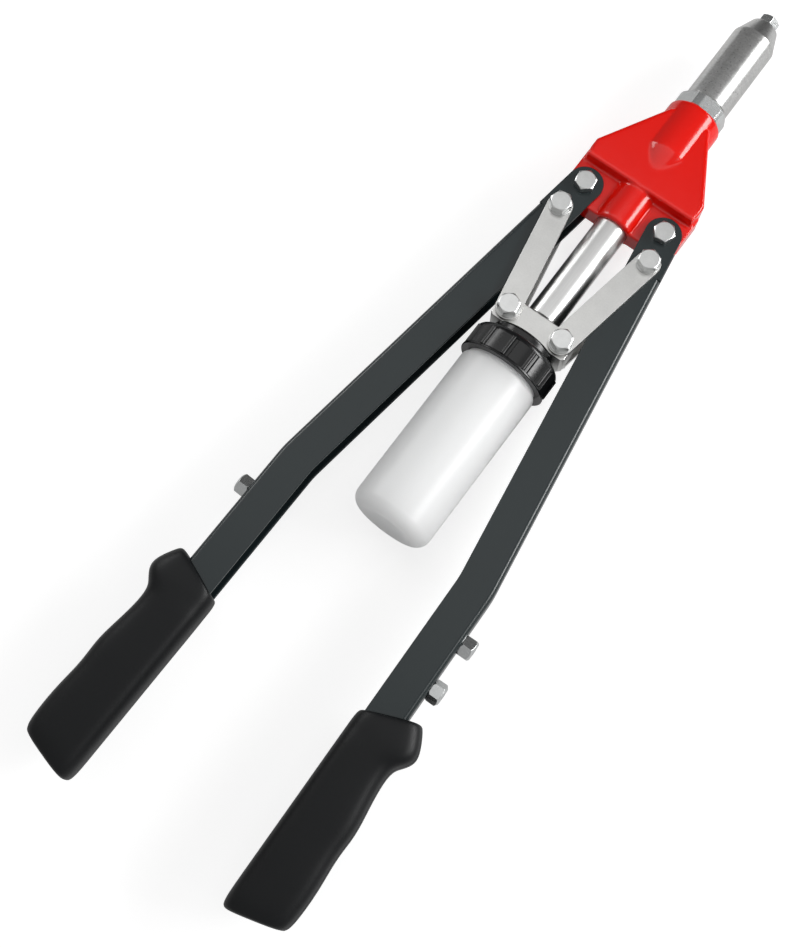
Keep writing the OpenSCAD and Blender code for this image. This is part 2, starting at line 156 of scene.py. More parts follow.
def pick(piece: bpy.types.Object, kind: Select, test: Callable[[Vector, Vector], bool]) -> None:
    """Selects edges or faces of a piece by their place.

    Args:
        piece: the piece, in object mode.
        kind: edges or faces.
        test: gets an element's centre in millimetres and its direction, which is a face's
            normal or an edge's unit vector, and says whether it is selected.
    """
    mesh = piece.data
    for group in (mesh.vertices, mesh.edges, mesh.polygons):
        for element in group:
            element.select = False
    if kind is Select.FACE:
        for face in mesh.polygons:
            face.select = test(face.center / MM, face.normal)
    else:
        for edge in mesh.edges:
            a, b = (mesh.vertices[i].co for i in edge.vertices)
            edge.select = test((a + b) / (2 * MM), (b - a).normalized())


def edit(
    piece: bpy.types.Object, kind: Select, all_of_it: bool, *steps: Callable[[], object]
) -> None:
    """Runs edit mode steps on a piece.

    Args:
        piece: the piece to work on.
        kind: the selection mode.
        all_of_it: selects everything first, and otherwise keeps what pick() selected.
        steps: the operators to run, in order.
    """
    select_only(piece)
    bpy.ops.object.mode_set(mode="EDIT")
    bpy.ops.mesh.select_mode(type=kind.value)
    if all_of_it:
        bpy.ops.mesh.select_all(action="SELECT")
    for step in steps:
        step()
    bpy.ops.object.mode_set(mode="OBJECT")


def face_outwards() -> None:
    """Merges doubles and points all normals outwards, in edit mode."""
    bpy.ops.mesh.select_all(action="SELECT")
    bpy.ops.mesh.remove_doubles(threshold=0.005 * MM)
    bpy.ops.mesh.normals_make_consistent(inside=False)


def drawn(name: str, points: Sequence[Sequence[float]], filled: bool) -> bpy.types.Object:
    """Draws a closed outline as a ring of vertices.

    Args:
        name: name of the new piece.
        points: the corners in millimetres, in order.
        filled: closes the ring with a face.

    Returns:
        The new piece.
    """
    bpy.ops.object.select_all(action="DESELECT")
    fill = "NGON" if filled else "NOTHING"
    bpy.ops.mesh.primitive_circle_add(vertices=len(points), radius=MM, fill_type=fill)
    piece = bpy.context.object
    piece.name = piece.data.name = name
    for vertex, point in zip(piece.data.vertices, points):
        vertex.co = mm(*point)
    return piece


def turned(name: str, profile: Profile, steps: int = 96, angle: float = 360) -> bpy.types.Object:
    """Turns a closed profile round the tool's axis, as on a lathe.

    Args:
        name: name of the new piece.
        profile: (radius, place along Y) corners in millimetres.
        steps: number of steps round the axis.
        angle: angle that the profile goes through, in degrees.

    Returns:
        The new piece.
    """
    piece = drawn(name, [(r, y, 0) for r, y in profile], filled=angle < 360)
    edit(
        piece, Select.VERT, True,
        lambda: bpy.ops.mesh.spin(
            steps=steps, angle=math.radians(angle), center=(0, 0, 0), axis=(0, 1, 0),
            use_auto_merge=angle == 360),
        face_outwards,
        lambda: bpy.ops.mesh.delete_loose(),
    )
    return piece


def extruded(name: str, outline: Profile, low: float, high: float) -> bpy.types.Object:
    """Extrudes a flat outline along Z.

    Args:
        name: name of the new piece.
        outline: (x, y) corners in millimetres.
        low: height of the lower face.
        high: height of the upper face.

    Returns:
        The new piece.
    """
    piece = drawn(name, [(x, y, low) for x, y in outline], filled=True)
    edit(
        piece, Select.FACE, True,
        lambda: bpy.ops.mesh.extrude_region_move(
            TRANSFORM_OT_translate={"value": mm(0, 0, high - low)}),
        face_outwards,
    )
    return piece


def apply_modifier(piece: bpy.types.Object, kind: str, **settings: object) -> None:
    """Adds a modifier with its settings and applies it."""
    select_only(piece)
    bpy.ops.object.modifier_add(type=kind)
    modifier = piece.modifiers[-1]
    for key, value in settings.items():
        setattr(modifier, key, value)
    bpy.ops.object.modifier_apply(modifier=modifier.name)


def rounded(
    piece: bpy.types.Object, width: float, segments: int = 2, angle: float = 30
) -> bpy.types.Object:
    """Rounds every edge sharper than an angle.

    Args:
        piece: the piece.
        width: width of the rounding in millimetres.
        segments: number of faces across it.
        angle: the least angle between two faces, in degrees.

    Returns:
        The same piece.
    """
    apply_modifier(
        piece, "BEVEL", width=width * MM, segments=segments, limit_method="ANGLE",
        angle_limit=math.radians(angle), use_clamp_overlap=True)
    return piece


def cut(
    piece: bpy.types.Object, *tools: bpy.types.Object, operation: str = "DIFFERENCE"
) -> bpy.types.Object:
    """Cuts a piece with other shapes, which are used up.

    Args:
        piece: the piece to cut.
        tools: the shapes that cut it.
        operation: "DIFFERENCE", or "INTERSECT" to keep what the shapes cover.

    Returns:
        The same piece.
    """
    for tool in tools:
        apply_modifier(piece, "BOOLEAN", object=tool, operation=operation, solver="EXACT")
        bpy.data.objects.remove(tool)
    return piece


def moved(piece: bpy.types.Object, matrix: Matrix) -> bpy.types.Object:
    """Moves a piece's mesh, and turns its faces back outwards if it is mirrored."""
    piece.data.transform(matrix)
    if matrix.determinant() < 0:
        piece.data.flip_normals()
    return piece


def copied(piece: bpy.types.Object, name: str) -> bpy.types.Object:
    """Copies a piece with a mesh of its own."""
    twin = bpy.data.objects.new(name, piece.data.copy())
    twin.data.name = name
    bpy.context.scene.collection.objects.link(twin)
    return twin


def joined(name: str, pieces: Sequence[bpy.types.Object]) -> bpy.types.Object:
    """Joins pieces into one object."""
    select_only(pieces[0])
    for piece in pieces:
        piece.select_set(True)
    bpy.ops.object.join()
    result = bpy.context.object
    result.name = result.data.name = name
    return result


def rod(
    radius: float, low: float, high: float, at: Sequence[float] = (0, 0), steps: int = 48
) -> bpy.types.Object:
    """Plain rod along Z that serves as a cutting tool.

    Args:
        radius: its radius in millimetres.
        low: its lower end.
        high: its upper end.
        at: place of its axis.
        steps: number of faces round it.

    Returns:
        The rod.
    """
    bpy.ops.object.select_all(action="DESELECT")
    bpy.ops.mesh.primitive_cylinder_add(
        vertices=steps, radius=radius * MM, depth=(high - low) * MM,
        location=mm(at[0], at[1], (low + high) / 2))
    tool = bpy.context.object
    bpy.ops.object.transform_apply(location=True, rotation=True, scale=True)
    return tool


def arc(
    centre: tuple[float, float], radius: float, start: float, end: float, steps: int
) -> list[tuple[float, float]]:
    """Points along an arc.

    Args:
        centre: centre of the arc.
        radius: its radius.
        start: angle of the first point, in degrees.
        end: angle of the last point.
        steps: number of steps between them.

    Returns:
        steps + 1 points.
    """
    angles = [math.radians(start + (end - start) * i / steps) for i in range(steps + 1)]
    return [(centre[0] + radius * math.cos(a), centre[1] + radius * math.sin(a)) for a in angles]


# Finishes


def add_node(
    tree: bpy.types.NodeTree, kind: str, settings: dict | None = None, links: dict | None = None
) -> bpy.types.Node:
    """Adds one node with its settings and links.

    Args:
        tree: the node tree.
        kind: the node's type.
        settings: values by attribute or input socket.
        links: output sockets by the input socket that they feed.

    Returns:
        The node.
    """
    node = tree.nodes.new(kind)
    for key, value in (settings or {}).items():
        if isinstance(key, int) or key in node.inputs:
            node.inputs[key].default_value = value
        else:
            setattr(node, key, value)
    for key, source in (links or {}).items():
        tree.links.new(source, node.inputs[key])
    return node


@dataclass(frozen=True)
class Finish:
    """A surface: its base colour, its gloss and the fine pattern that it was made with.

    The pattern is a noise whose grain is given in millimetres along X, Y and Z. It drives a
    bump, small changes of roughness and, by grain_tint, of colour. A second, larger noise of
    cloud millimetres, drawn out by cloud_stretch, clouds the colour a little.
    """

    name: str
    colour: str
    roughness: float
    metallic: float = 0.0
    grain: tuple[float, float, float] = (1.0, 1.0, 1.0)
    grain_depth: float = 0.0
    grain_detail: float = 2.0
    grain_tint: float = 0.0
    rough_spread: float = 0.06
    cloud: float = 25.0
    cloud_stretch: tuple[float, float, float] = (1.0, 1.0, 1.0)
    cloud_spread: float = 0.05
    noise_range: tuple[float, float] = (0.3, 0.7)
    least_roughness: float = 0.02
    shader: dict = field(default_factory=dict, hash=False)

    def noise(
        self, tree: bpy.types.NodeTree, sizes: Sequence[float], detail: float, roughness: float
    ) -> bpy.types.Node:
        """Adds a noise on object coordinates.

        Args:
            tree: the material's node tree.
            sizes: size of its pattern in millimetres along X, Y and Z.
            detail: its detail.
            roughness: how strongly the finer octaves show.

        Returns:
            The noise texture.
        """
        place = add_node(tree, "ShaderNodeTexCoord").outputs["Object"]
        scale = tuple(1 / (MM * size) for size in sizes)
        mapped = add_node(
            tree, "ShaderNodeMapping", {"vector_type": "POINT", "Scale": scale}, {"Vector": place})
        return add_node(
            tree, "ShaderNodeTexNoise", {"Scale": 1.0, "Detail": detail, "Roughness": roughness},
            {"Vector": mapped.outputs["Vector"]})

    def spread(
        self, tree: bpy.types.NodeTree, noise: bpy.types.Node, low: float, high: float
    ) -> bpy.types.NodeSocket:
        """Maps the middle of a noise to a range.

        Args:
            tree: the material's node tree.
            noise: the noise texture.
            low: value at the lower end.
            high: value at the upper end.

        Returns:
            The socket with the result.
        """
        first, last = self.noise_range
        return add_node(
            tree, "ShaderNodeMapRange",
            {"From Min": first, "From Max": last, "To Min": low, "To Max": high},
            {"Value": noise.outputs["Fac"]}).outputs["Result"]

    def tinted(
        self, tree: bpy.types.NodeTree, grain: bpy.types.Node, cloud: bpy.types.Node
    ) -> bpy.types.NodeSocket:
        """Clouds the base colour, and darkens and lightens it with the grain.

        Args:
            tree: the material's node tree.
            grain: the fine noise.
            cloud: the large noise.

        Returns:
            The socket with the colour.
        """
        base = linear(self.colour)[:3]
        dark = tuple(c * (1 - self.cloud_spread) for c in base) + (1.0,)
        light = tuple(min(1.0, c * (1 + self.cloud_spread)) for c in base) + (1.0,)
        colour = add_node(
            tree, "ShaderNodeMix", {"data_type": "RGBA", 6: dark, 7: light},
            {0: cloud.outputs["Fac"]}).outputs[2]
        if self.grain_tint > 0:
            share = self.spread(tree, grain, 1 - self.grain_tint, 1 + self.grain_tint)
            colour = add_node(
                tree, "ShaderNodeMix", {"data_type": "RGBA", "blend_type": "MULTIPLY", 0: 1.0},
                {6: colour, 7: share}).outputs[2]
        return colour

    def material(self) -> bpy.types.Material:
        """Builds the material, or returns it if it is there already."""
        if self.name in bpy.data.materials:
            return bpy.data.materials[self.name]
        material = bpy.data.materials.new(self.name)
        material.use_nodes = True
        tree = material.node_tree
        tree.nodes.clear()
        grain = self.noise(tree, self.grain, self.grain_detail, 0.55)
        clouds = [self.cloud * stretch for stretch in self.cloud_stretch]
        rough = self.spread(
            tree, grain, max(self.least_roughness, self.roughness - self.rough_spread),
            min(1.0, self.roughness + self.rough_spread))
        colour = self.tinted(tree, grain, self.noise(tree, clouds, 3.0, 0.5))
        links = {"Base Color": colour, "Roughness": rough}
        if self.grain_depth > 0:
            bump = add_node(
                tree, "ShaderNodeBump", {"Strength": 1.0, "Distance": self.grain_depth * MM},
                {"Height": grain.outputs["Fac"]})
            links["Normal"] = bump.outputs["Normal"]
        shader = add_node(
            tree, "ShaderNodeBsdfPrincipled", {"Metallic": self.metallic, **self.shader}, links)
        add_node(tree, "ShaderNodeOutputMaterial", links={"Surface": shader.outputs["BSDF"]})
        return material


# Gloss enamel sprayed on die-cast metal: deep and wet, with a faint orange peel.
RED_ENAMEL = Finish(
    "gloss_red_enamel", "#E21105", 0.14, grain=(1.5, 1.5, 1.5), grain_depth=0.02,
    rough_spread=0.03, cloud=30.0)
# Satin powder coat on folded sheet steel: smooth, half gloss, a very fine peel.
SLATE_COAT = Finish(
    "slate_powder_coat", "#192325", 0.26, grain=(2.4, 2.4, 2.4), grain_depth=0.0015,
    rough_spread=0.01, cloud=40.0, cloud_spread=0.07)
# Bright zinc on flat bar: pale and even, with a fine crystalline grain.
ZINC_BAR = Finish(
    "bright_zinc_bar", "#DFDFDD", 0.34, 1.0, grain=(0.9, 0.9, 0.9), grain_depth=0.001,
    grain_tint=0.03, rough_spread=0.03, cloud=8.0, cloud_spread=0.08)
# Bright zinc on forged bolts: a little glossier than on bar.
ZINC_BOLT = Finish(
    "bright_zinc_bolt", "#E4E5E4", 0.31, 1.0, grain=(0.8, 0.8, 0.8), grain_depth=0.0005,
    grain_tint=0.02, rough_spread=0.02, cloud=3.0, cloud_spread=0.08)
# Steel turned on a lathe: the tool's feed leaves rings 0.1 mm apart, drawn at 1.5 mm to show,
# under the fine mottle of bead-blasted steel, 0.5 mm, drawn at 1 mm.
TURNED_STEEL = Finish(
    "lathe_turned_steel", "#C6C6C5", 0.30, 1.0, grain=(1.0, 0.8, 1.0), grain_depth=0.0012,
    grain_detail=4.0, grain_tint=0.14, rough_spread=0.03, cloud=1.5,
    cloud_stretch=(30.0, 1.0, 30.0), cloud_spread=0.16)
# Centreless-ground tube, polished lengthwise: even, with soft lines along it.
GROUND_STEEL = Finish(
    "ground_steel_tube", "#DEDEDD", 0.34, 1.0, grain=(0.9, 30.0, 0.9), grain_depth=0.0001,
    grain_detail=3.0, grain_tint=0.03, rough_spread=0.006, cloud=14.0)
# Nickel plate on hexagon bar: bright, with the bar's drawn grain.
NICKEL_PLATE = Finish(
    "nickel_plated_steel", "#D2D4D4", 0.26, 1.0, grain=(0.8, 0.8, 0.8), grain_depth=0.0004,
    grain_tint=0.025, rough_spread=0.015, cloud=4.0, cloud_spread=0.08)
# Hardened and oiled steel of the jaws and their carrier.
HARDENED_STEEL = Finish(
    "hardened_steel", "#8C8C8E", 0.33, 1.0, grain=(6.0, 0.4, 6.0), grain_depth=0.003, cloud=6.0,
    cloud_spread=0.08)
# Moulded nylon of the cap and collar: black, half gloss, from a polished mould.
BLACK_NYLON = Finish(
    "black_nylon", "#0B0C0D", 0.25, grain=(0.8, 0.8, 0.8), grain_depth=0.0008,
    rough_spread=0.02, cloud=10.0, cloud_spread=0.15)
# Moulded grips: black PVC with the mould's fine spark-eroded grain, 0.4 mm, drawn at 0.6 mm.
BLACK_GRIP = Finish(
    "black_grained_pvc", "#0B0D0F", 0.44, grain=(0.6, 0.6, 0.6), grain_depth=0.02, cloud=30.0,
    cloud_spread=0.12, shader={"Specular IOR Level": 0.3})
# Natural polyethylene: blow moulded and milky, so light scatters all through the bottle.
MILKY_PE = Finish(
    "natural_polyethylene", "#F1F2F2", 0.34, grain=(2.5, 2.5, 2.5), grain_depth=0.004,
    rough_spread=0.03, cloud=35.0, cloud_spread=0.01, shader={
        "Subsurface Weight": 1.0, "Subsurface Scale": 0.03, "Subsurface Radius": (1.0, 1.0, 1.0)})


def finished(
    piece: bpy.types.Object, finish: Finish, body: str, slot: str, *nodes: str, smooth: float = 32
) -> None:
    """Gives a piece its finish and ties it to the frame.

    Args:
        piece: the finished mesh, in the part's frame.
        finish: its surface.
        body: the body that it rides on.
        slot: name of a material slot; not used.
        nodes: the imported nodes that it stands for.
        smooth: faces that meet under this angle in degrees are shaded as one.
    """
    select_only(piece)
    bpy.ops.object.shade_smooth_by_angle(angle=math.radians(smooth))
    if smooth < ROUND_ONLY:
        apply_modifier(piece, "WEIGHTED_NORMAL", keep_sharp=True)
    piece.data.materials.clear()
    piece.data.materials.append(finish.material())
    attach(piece, body)
    if nodes:
        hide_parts(*nodes)
    log.info("%s: %d faces, on %s", piece.name, len(piece.data.polygons), body)


# Sub-assemblies


@dataclass
class Casting:
    """Die-cast red head. Its packed form is softened everywhere, as a casting is."""

    voxel: float = 0.55
    passes: int = 7
    tip_y: float = -108.0
    tip_reach: float = 17.0
    tip_fade: float = 7.0
    tip_height: float = 9.0
    tip_passes: int = 6

    def soften_tip(self, piece: bpy.types.Object) -> None:
        """Runs the blunt end of the barrel's boss into the plate, on both faces.

        Args:
            piece: the casting, with small even faces.
        """
        group = piece.vertex_groups.new(name="tip")
        for vertex in piece.data.vertices:
            x, y, z = vertex.co / MM
            near = (self.tip_reach - math.hypot(x, y - self.tip_y)) / self.tip_fade
            if near > 0 and abs(z) > self.tip_height:
                group.add([vertex.index], min(1.0, near), "REPLACE")
        apply_modifier(
            piece, "SMOOTH", factor=0.5, iterations=self.tip_passes, vertex_group="tip")
        piece.vertex_groups.clear()

    def build(self, node: bpy.types.Object) -> None:
        """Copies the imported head, rounds its edges and hollows, and finishes it.

        Args:
            node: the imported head.
        """
        piece = copied(node, "cast_head")
        edit(piece, Select.VERT, True,
             lambda: bpy.ops.mesh.remove_doubles(threshold=0.002 * MM))
        apply_modifier(
            piece, "REMESH", mode="VOXEL", voxel_size=self.voxel * MM, adaptivity=0.0)
        apply_modifier(piece, "SMOOTH", factor=0.5, iterations=self.passes)
        self.soften_tip(piece)
        finished(piece, RED_ENAMEL, "head", "red_enamel", "head_casting", smooth=180)


@dataclass
class Nosepiece:
    """Hexagonal nosepiece with a turned front and a threaded shank."""

    across_flats: float = 10.0
    hexagon: float = 6.5
    front_share: float = 0.42
    front_drop: float = 1.3
    back_drop: float = 0.55
    thread: float = 9.0
    thread_length: float = 10.5
    thread_depth: float = 0.35
    ridges: int = 10
    mandrel: float = 3.0

    def shape(self, name: str) -> bpy.types.Object:
        """Models one nosepiece along +Y, with its front face at the origin.

        Args:
            name: name of the piece.

        Returns:
            The piece.
        """
        corner = self.across_flats / math.sqrt(3)
        prism = extruded(name, arc((0, 0), corner, 0, 300, 5), -self.hexagon - 1, 1.0)
        moved(prism, spun(-90, "X"))
        rim = corner + FIT
        cone = turned("front_cone", [
            (0, 0), (self.across_flats * self.front_share, 0), (rim, -self.front_drop),
            (rim, 1 - self.hexagon), (corner - self.back_drop, -self.hexagon),
            (0, -self.hexagon)], 48)
        cut(prism, cone, operation="INTERSECT")
        rounded(prism, 0.14, 2, 25)
        hole = self.mandrel / 2
        cut(prism, moved(rod(hole, -25, 5, steps=40), spun(-90, "X")))
        root = self.thread / 2 - self.thread_depth
        ridges = [(hole, -self.hexagon + FIT), (root, -self.hexagon + FIT)]
        for i in range(self.ridges):
            y = -self.hexagon - i * 1.0
            ridges += [(root, y - 0.2), (self.thread / 2, y - 0.5), (root, y - 0.8)]
        end = -self.hexagon - self.thread_length
        ridges += [(root - 0.5, end), (hole, end)]
        return joined(name, [prism, turned("thread", ridges, 40)])


@dataclass
class Nose:
    """Barrel with its cone, its lock nut and the nosepiece at its front."""

    barrel: float = 12.0
    seat: float = -6.5
    cone_base: float = -17.0
    cone: float = 7.5
    low: float = -92.0
    wall: float = 3.15
    mouth: float = 4.6
    chamfer: float = 0.8
    relief: float = 0.6
    nut_low: float = -71.9
    nut_high: float = -64.0
    nut: float = 14.0
    nut_flats: float = 26.0
    nut_turn: float = 18.0
    nose_turn: float = 42.0

    def build_barrel(self) -> None:
        """Turns the barrel, with the relief behind the lock nut and a chamfered cone."""
        r, bore, cone, seat, base = (
            self.barrel, self.barrel - self.wall, self.cone, self.seat, self.cone_base)
        groove = self.nut_high + 0.2
        neck = r - self.relief
        profile = [
            (bore, self.low), (r - self.chamfer, self.low), (r, self.low + self.chamfer),
            (r, groove), (neck, groove + 0.3), (neck, groove + 0.9), (r, groove + 1.2),
            (r, base - 0.35), (r - 0.25, base + 0.15), (cone + 0.35, seat - 0.35), (cone, seat),
            (self.mouth, seat), (self.mouth, base - 1), (bore, base - 1)]
        piece = rounded(turned("turned_barrel", profile, 128), 0.12, 2, 15)
        finished(piece, TURNED_STEEL, "head", "turned_steel", "barrel")

    def build_lock_nut(self) -> None:
        """Turns the lock nut from round bar and mills its six flats."""
        hole, r, low, high = self.barrel + FIT, self.nut, self.nut_low, self.nut_high
        ring = turned("lock_nut_ring", [
            (hole, low), (r - 0.4, low), (r, low + 0.4), (r, high - 0.8), (r - 1.0, high),
            (hole, high)], 144)
        corner = self.nut_flats / math.sqrt(3)
        flats = extruded("flats", arc((0, 0), corner, 0, 300, 5), -20, 20)
        moved(flats, shift(0, (low + high) / 2, 0) @ (spun(self.nut_turn, "Y") @ spun(-90, "X")))
        piece = rounded(cut(ring, flats, operation="INTERSECT"), 0.18, 2, 20)
        finished(piece, NICKEL_PLATE, "head", "nickel_steel", "lock_nut", smooth=20)

    def build_nosepiece(self) -> None:
        """Fits the nosepiece at the front."""
        piece = moved(Nosepiece().shape("fitted_nosepiece"), spun(self.nose_turn, "Y"))
        finished(piece, NICKEL_PLATE, "head", "nickel_steel", "nosepiece", smooth=25)

    def build(self) -> None:
        """Builds the three pieces."""
        self.build_barrel()
        self.build_lock_nut()
        self.build_nosepiece()


@dataclass
class Fastener:
    """Hexagon bolts with rolled threads, their nuts, and flat and spring washers."""

    diameter: float = 6.0
    across_flats: float = 10.0
    head: float = 4.0
    nut: float = 5.0
    end_out: float = 1.5
    disc_share: float = 0.475
    chamfer_angle: float = 30.0
    thread_length: float = 7.0
    thread_depth: float = 0.35
    washer: float = 12.0
    washer_stack: float = 1.2
    flat_washer: float = 0.5
    split_inset: float = 0.75
    split_angle: float = 346.0

    def hexagon(self, name: str, height: float, both_ends: bool) -> bpy.types.Object:
        """Models a hexagon along +Z from the origin, its corners turned off.

        Args:
            name: name of the piece.
            height: its height.
            both_ends: turns the corners off at the foot too, as on a nut.

        Returns:
            The piece.
        """
        corner = self.across_flats / math.sqrt(3)
        rim = corner + 0.02
        disc = self.across_flats * self.disc_share
        prism = extruded(name, arc((0, 0), corner, 0, 300, 5), 0, height)
        drop = (corner - disc) * math.tan(math.radians(self.chamfer_angle))
        foot = [(disc, 0), (rim, drop)] if both_ends else [(corner - 0.12, 0), (rim, 0.1)]
        cone = turned(
            "chamfer", [(0, 0), *foot, (rim, height - drop), (disc, height), (0, height)], 60)
        moved(cone, spun(90, "X"))
        cut(prism, cone, operation="INTERSECT")
        return rounded(prism, 0.1, 2, 22)

    def thread(self, name: str, low: float, high: float) -> bpy.types.Object:
        """Models a threaded shank along Z with a chamfered end.

        Args:
            name: name of the piece.
            low: its end.
            high: its upper end, inside the head.

        Returns:
            The piece.
        """
        crest, root = self.diameter / 2 - 0.02, self.diameter / 2 - self.thread_depth
        profile = [(0, low), (root - 0.3, low), (root, low + 0.3)]
        y = low + 0.4
        while y < low + self.thread_length:
            profile += [(root, y), (crest, y + 0.45), (root, y + 0.9)]
            y += 1.0
        profile += [(crest, y + 0.3), (crest, high), (0, high)]
        return moved(turned(name, profile, 36), spun(90, "X"))

    def bolt(self, name: str, at: Sequence[float], seat: float, turn: float) -> bpy.types.Object:
        """Places a bolt.

        Args:
            name: name of the piece.
            at: place of its axis.
            seat: height of the underside of its head.
            turn: turn of the hexagon in degrees.

        Returns:
            The bolt.
        """
        head = self.hexagon("head", self.head, both_ends=False)
        moved(head, shift(0, 0, seat) @ spun(turn, "Z"))
        shank = self.thread("shank", -seat - self.nut - self.end_out, seat + 1)
        return moved(joined(name, [head, shank]), shift(*at, 0))

    def back_nut(
        self, name: str, at: Sequence[float], seat: float, turn: float
    ) -> bpy.types.Object:
        """Places a nut at the back, under its seat's height.

        Args:
            name: name of the piece.
            at: place of its axis.
            seat: height of the matching head's underside.
            turn: turn of the hexagon in degrees.

        Returns:
            The nut.
        """
        hexagon = self.hexagon(name, self.nut, both_ends=True)
        piece = cut(hexagon, rod(self.diameter / 2 + FIT, -1, self.nut + 1))
        return moved(piece, shift(*at, -seat) @ (spun(180, "X") @ spun(turn, "Z")))

    def washers(self, name: str, at: Sequence[float], low: float) -> bpy.types.Object:
        """Places a flat washer with a split spring washer on it, and their twins at the back.

        Args:
            name: name of the piece.
            at: place of their axis.
            low: height of the flat washer's underside.

        Returns:
            The four washers.
        """
        hole, rim, thick = self.diameter / 2 + 0.1, self.washer / 2, self.flat_washer
        flat = turned(
            "flat", [(hole, 0), (rim - 0.1, 0), (rim, 0.12), (rim - 0.05, thick), (hole, thick)],
            72)
        inner, top = rim - self.split_inset, self.washer_stack - 0.02
        split = turned(
            "split", [(hole, thick + 0.02), (inner, thick + 0.02), (rim - 0.7, thick + 0.1),
                      (inner, top), (hole, top)], 60, self.split_angle)
        pair = moved(joined("front", [flat, split]), spun(90, "X"))
        rounded(pair, 0.06, 1, 40)
        moved(pair, shift(*at, low))
        back = moved(copied(pair, "back"), Matrix.Scale(-1, 4, Vector((0, 0, 1))))
        return joined(name, [pair, back])


@dataclass
class Bolts:
    """The six pivot bolts with their nuts and washers."""

    arm_seat: float = 8.1
    washer_low: float = 10.7
    link_seat: float = 11.9
    kind: Fastener = field(default_factory=Fastener)

    def set_on(
        self, name: str, body: str, spots: Sequence[tuple[Sequence[float], float, float]],
        seat: float, nodes: Sequence[str]
    ) -> None:
        """Models the bolts and nuts of one pair of nodes.

        Args:
            name: name for the pieces.
            body: the body that they ride on.
            spots: place, head turn and nut turn of each.
            seat: height of the heads' underside.
            nodes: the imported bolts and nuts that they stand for.
        """
        bolts = joined(f"{name}_hex_bolts", [
            self.kind.bolt("bolt", at, seat, turn) for at, turn, _ in spots])
        finished(bolts, ZINC_BOLT, body, "zinc_plate", nodes[0], smooth=25)
        nuts = joined(f"{name}_hex_nuts", [
            self.kind.back_nut("nut", at, seat, turn) for at, _, turn in spots])
        finished(nuts, ZINC_BOLT, body, "zinc_plate", nodes[1], smooth=25)

    def build(self) -> None:
        """Places all fasteners."""
        x, y = ARM_PIVOT
        self.set_on("arm_pivot", "head", [((-x, y), 38, 20), ((x, y), 7, 10)], self.arm_seat,
                    ("arm_bolts", "arm_nuts"))
        x, y = YOKE_PIVOT
        spots = [((-x, y), 37, 0), ((x, y), 37, 0)]
        self.set_on("yoke_pivot", "puller", spots, self.link_seat, ("yoke_bolts", "yoke_nuts"))
        washers = joined("yoke_pivot_washers", [
            self.kind.washers("washers", at, self.washer_low) for at, _, _ in spots])
        finished(washers, ZINC_BOLT, "puller", "zinc_plate", "yoke_washers")
        for side, turns in ((Side.LEFT, (10, 5)), (Side.RIGHT, (37, 25))):
            at = (side.sign * LINK_PIVOT[0], LINK_PIVOT[1])
            arm, link = f"{side.value}_arm", f"{side.value}_link"
            self.set_on(f"{link}_pivot", arm, [(at, *turns)], self.link_seat,
                        (f"{link}_bolt", f"{link}_nut"))
            washers = self.kind.washers(f"{link}_pivot_washers", at, self.washer_low)
            finished(washers, ZINC_BOLT, arm, "zinc_plate", f"{link}_washers")


